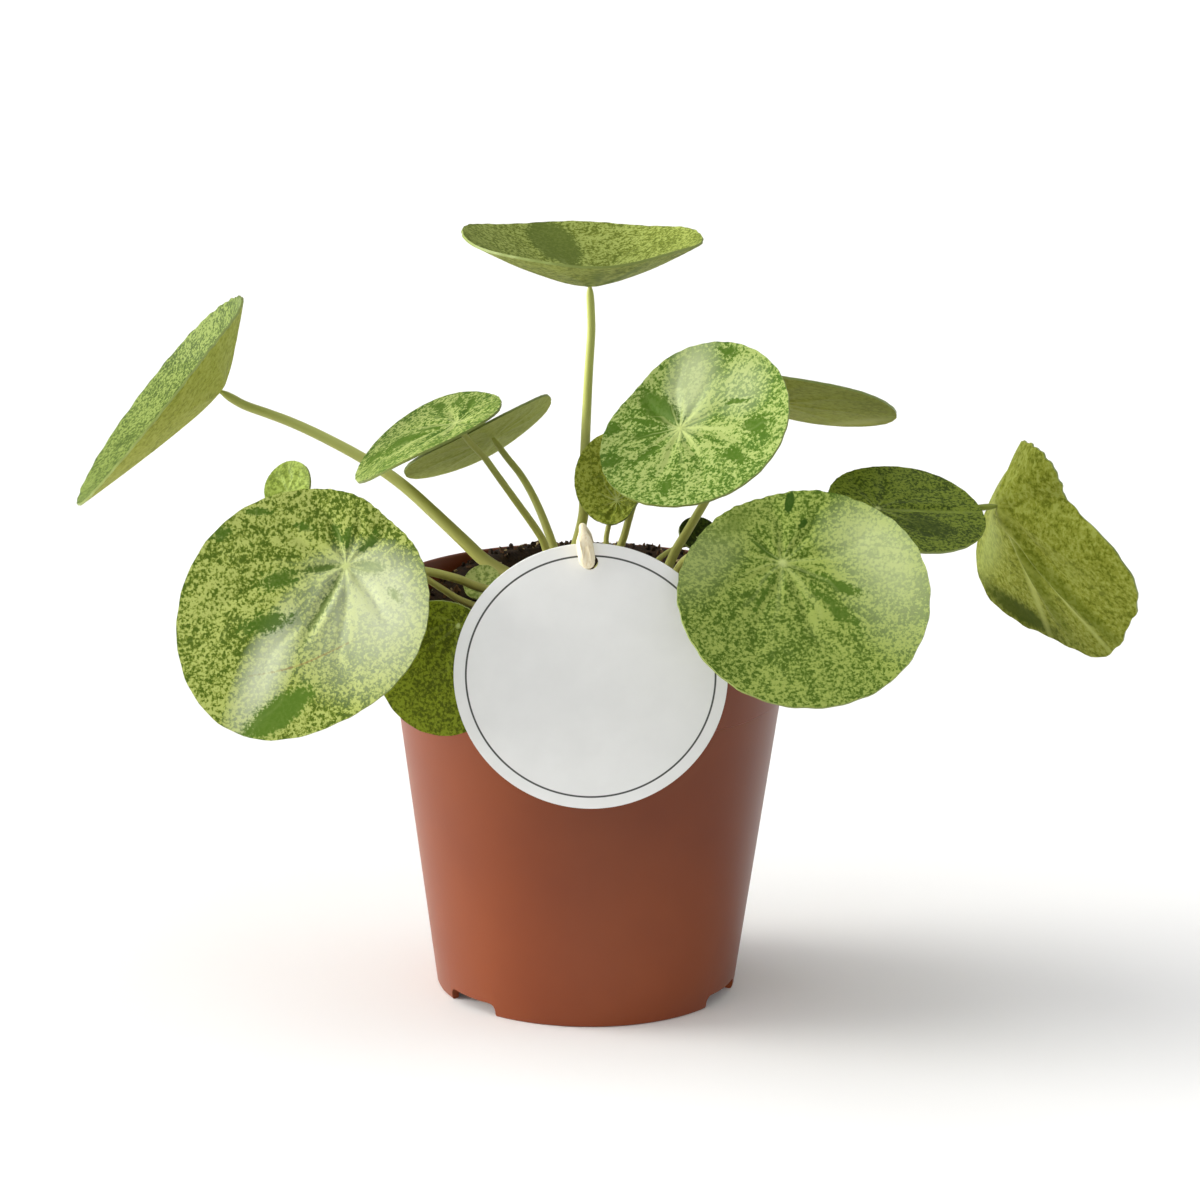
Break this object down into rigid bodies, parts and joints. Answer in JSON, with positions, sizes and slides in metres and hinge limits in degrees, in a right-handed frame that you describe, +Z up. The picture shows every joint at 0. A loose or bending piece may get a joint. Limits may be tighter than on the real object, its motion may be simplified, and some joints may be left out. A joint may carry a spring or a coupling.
{
  "type": "potted plant",
  "caption": "Round-leaved house plant in a tapered plastic nursery pot: round blades on long stalks from a short stem and an offset, with a round blank name card tied on.",
  "frame": {"origin": "on the floor, on the pot's vertical axis, which is within 2 mm of the centre of the object's box", "axes": "+Z up, -Y towards the front, where the name card hangs, +X to the right as seen from the front"},
  "size_m": [0.308, 0.1789, 0.2218],
  "materials": {
    "pot_plastic": "satin",
    "soil": "matte, loose and crumbly",
    "stem": "matte",
    "stalk": "satin",
    "blade": "satin, mottled",
    "card": "satin",
    "tie": "matte, fibrous"
  },
  "bodies": {
    "root": {"pot": "pot_plastic", "soil": "soil", "main_stem": "stem", "offset_stem": "stem", "stalk_01": "stalk", "blade_01": "blade", "stalk_02": "stalk", "blade_02": "blade", "stalk_03": "stalk", "blade_03": "blade", "stalk_04": "stalk", "blade_04": "blade", "stalk_05": "stalk", "blade_05": "blade", "stalk_06": "stalk", "blade_06": "blade", "stalk_07": "stalk", "blade_07": "blade", "stalk_08": "stalk", "blade_08": "blade", "stalk_09": "stalk", "blade_09": "blade", "stalk_10": "stalk", "blade_10": "blade", "stalk_11": "stalk", "blade_11": "blade", "stalk_12": "stalk", "blade_12": "blade", "stalk_13": "stalk", "blade_13": "blade", "stalk_14": "stalk", "blade_14": "blade", "stalk_15": "stalk", "blade_15": "blade", "name_card": "card", "card_tie": "tie"}
  },
  "joints": []
}
